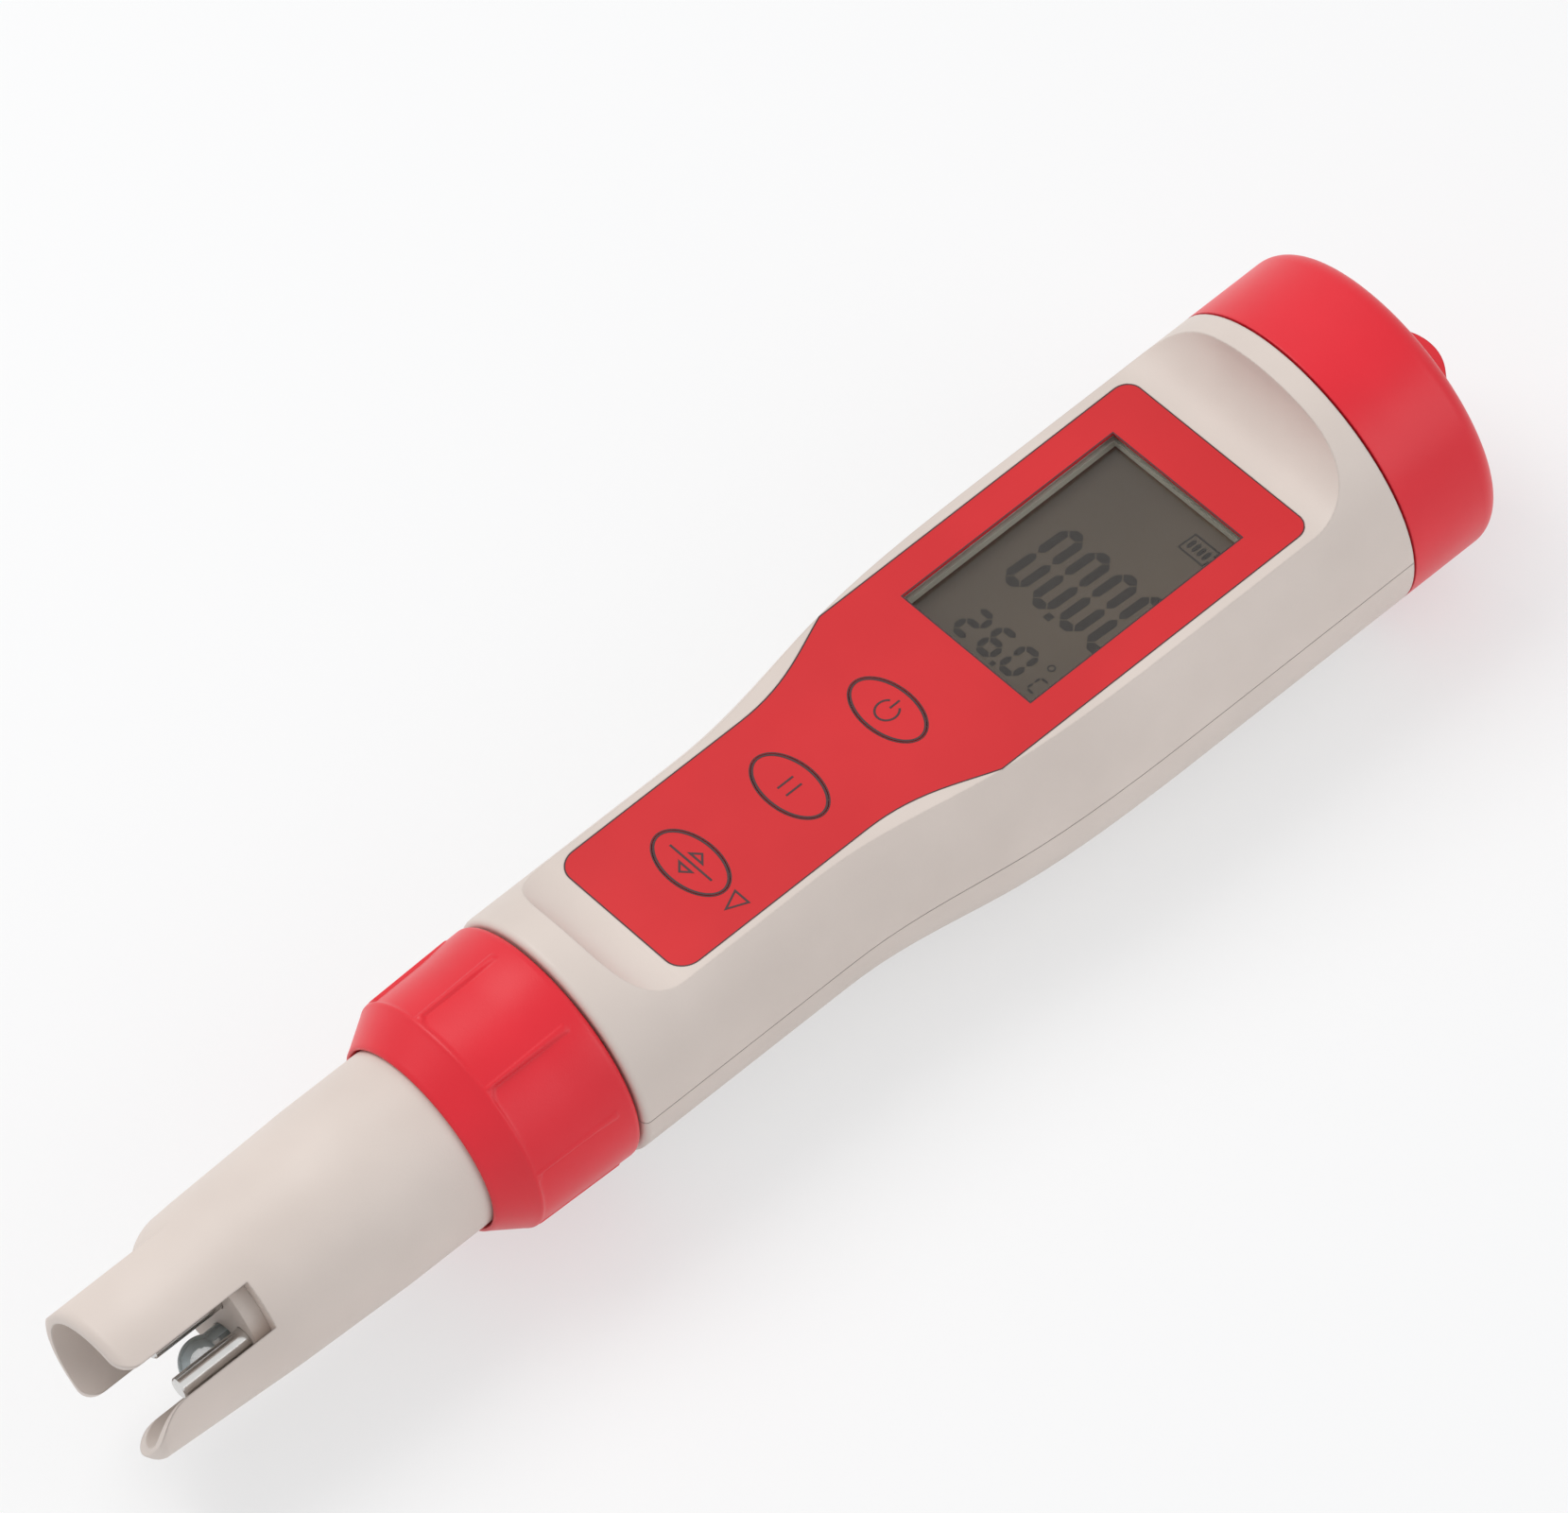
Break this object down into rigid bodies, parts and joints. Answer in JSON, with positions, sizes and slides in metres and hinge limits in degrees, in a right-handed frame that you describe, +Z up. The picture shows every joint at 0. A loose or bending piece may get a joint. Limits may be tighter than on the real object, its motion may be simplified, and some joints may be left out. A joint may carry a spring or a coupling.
{
  "type": "water quality test pen",
  "caption": "Round battery-powered water test pen with display and keys, screwed battery cap, and a replaceable guarded probe held by a screwed lock ring.",
  "frame": {"origin": "on the floor that the pen lies on, under its axis, half way along its length", "axes": "+X along the pen towards the battery cap, +Z up, the way the display faces"},
  "size_m": [0.1882, 0.038, 0.038],
  "materials": {
    "grey_shell": "fine satin, warm light grey",
    "grey_inner": "satin, warm light grey",
    "red_plastic": "satin, fine moulded grain",
    "label_film": "satin printed film",
    "clear_lens": "clear polished plate",
    "display_glass": "grey green display glass",
    "reflector": "pale sheet",
    "frame_plastic": "dark grey, satin",
    "soft_strip": "soft layered strip",
    "board_green": "lacquered board",
    "screw_steel": "zinc plated",
    "chip_black": "matt black",
    "can_steel": "tinned can",
    "plunger_plastic": "satin",
    "cell_steel": "bright steel",
    "contact_metal": "plated strip",
    "spring_steel": "bright wire",
    "seal_rubber": "matt black",
    "ribbon": "grey cable",
    "potting": "moulded carrier",
    "electrode_glass": "thin clear glass",
    "silver": "bright wire",
    "pin_steel": "polished stainless steel",
    "porous_plug": "porous white"
  },
  "bodies": {
    "housing": {"front_shell": "grey_shell", "back_shell": "grey_shell", "front_label": "label_film", "display_lens": "clear_lens", "display_frame": "frame_plastic", "display_glass": "display_glass", "reflector": "reflector", "contact_strips": "soft_strip", "circuit_board": "board_green", "board_screws": "screw_steel", "microcontroller": "chip_black", "amplifier_chip": "chip_black", "crystal": "can_steel", "key_switch_1": "chip_black", "key_switch_2": "chip_black", "key_switch_3": "chip_black", "battery_neck": "grey_inner", "cap_seal": "seal_rubber", "battery_tube": "chip_black", "button_cell_1": "cell_steel", "button_cell_2": "cell_steel", "button_cell_3": "cell_steel", "button_cell_4": "cell_steel", "base_contact": "contact_metal", "terminal_strip": "contact_metal", "probe_neck": "grey_inner", "probe_socket": "chip_black", "ribbon_cable": "ribbon"},
    "cap_contact": {"contact_disc": "contact_metal", "contact_spring": "spring_steel"},
    "cap": {"battery_cap": "red_plastic"},
    "probe": {"probe_shroud": "grey_shell", "sealing_washer": "seal_rubber", "probe_core": "potting", "glass_electrode": "electrode_glass", "silver_wire": "silver", "steel_pin_1": "pin_steel", "steel_pin_2": "pin_steel", "reference_junction": "porous_plug", "thermometer": "pin_steel", "sensor_leads": "contact_metal", "probe_board": "board_green", "probe_plug": "chip_black", "contact_pins": "contact_metal", "plug_seal": "seal_rubber"},
    "ring": {"lock_ring": "red_plastic"},
    "lower_key_body": {"lower_key": "label_film", "switch_plunger_1": "plunger_plastic"},
    "middle_key_body": {"middle_key": "label_film", "switch_plunger_2": "plunger_plastic"},
    "upper_key_body": {"upper_key": "label_film", "switch_plunger_3": "plunger_plastic"}
  },
  "joints": [
    {"name": "cap_lift", "type": "slide", "parent": "housing", "child": "cap_contact", "axis": [1, 0, 0], "range_m": [0, 0.009]},
    {"name": "cap_turn", "type": "hinge", "parent": "cap_contact", "child": "cap", "pos_m": [0.0806, 0, 0.019], "axis": [1, 0, 0], "range_deg": [0, 1080]},
    {"name": "probe_pull", "type": "slide", "parent": "housing", "child": "probe", "axis": [-1, 0, 0], "range_m": [0, 0.009]},
    {"name": "ring_turn", "type": "hinge", "parent": "probe", "child": "ring", "pos_m": [-0.0414, 0, 0.019], "axis": [-1, 0, 0], "range_deg": [0, 1080]},
    {"name": "lower_key_press", "type": "slide", "parent": "housing", "child": "lower_key_body", "axis": [0, 0, -1], "range_m": [0, 0.0004], "stiffness_N_per_m": 400},
    {"name": "middle_key_press", "type": "slide", "parent": "housing", "child": "middle_key_body", "axis": [0, 0, -1], "range_m": [0, 0.0004], "stiffness_N_per_m": 400},
    {"name": "upper_key_press", "type": "slide", "parent": "housing", "child": "upper_key_body", "axis": [0, 0, -1], "range_m": [0, 0.0004], "stiffness_N_per_m": 400}
  ],
  "couplings": [
    {"joint": "cap_lift", "follows": "cap_turn", "m_per_rad": 0.000477},
    {"joint": "probe_pull", "follows": "ring_turn", "m_per_rad": 0.000477}
  ]
}
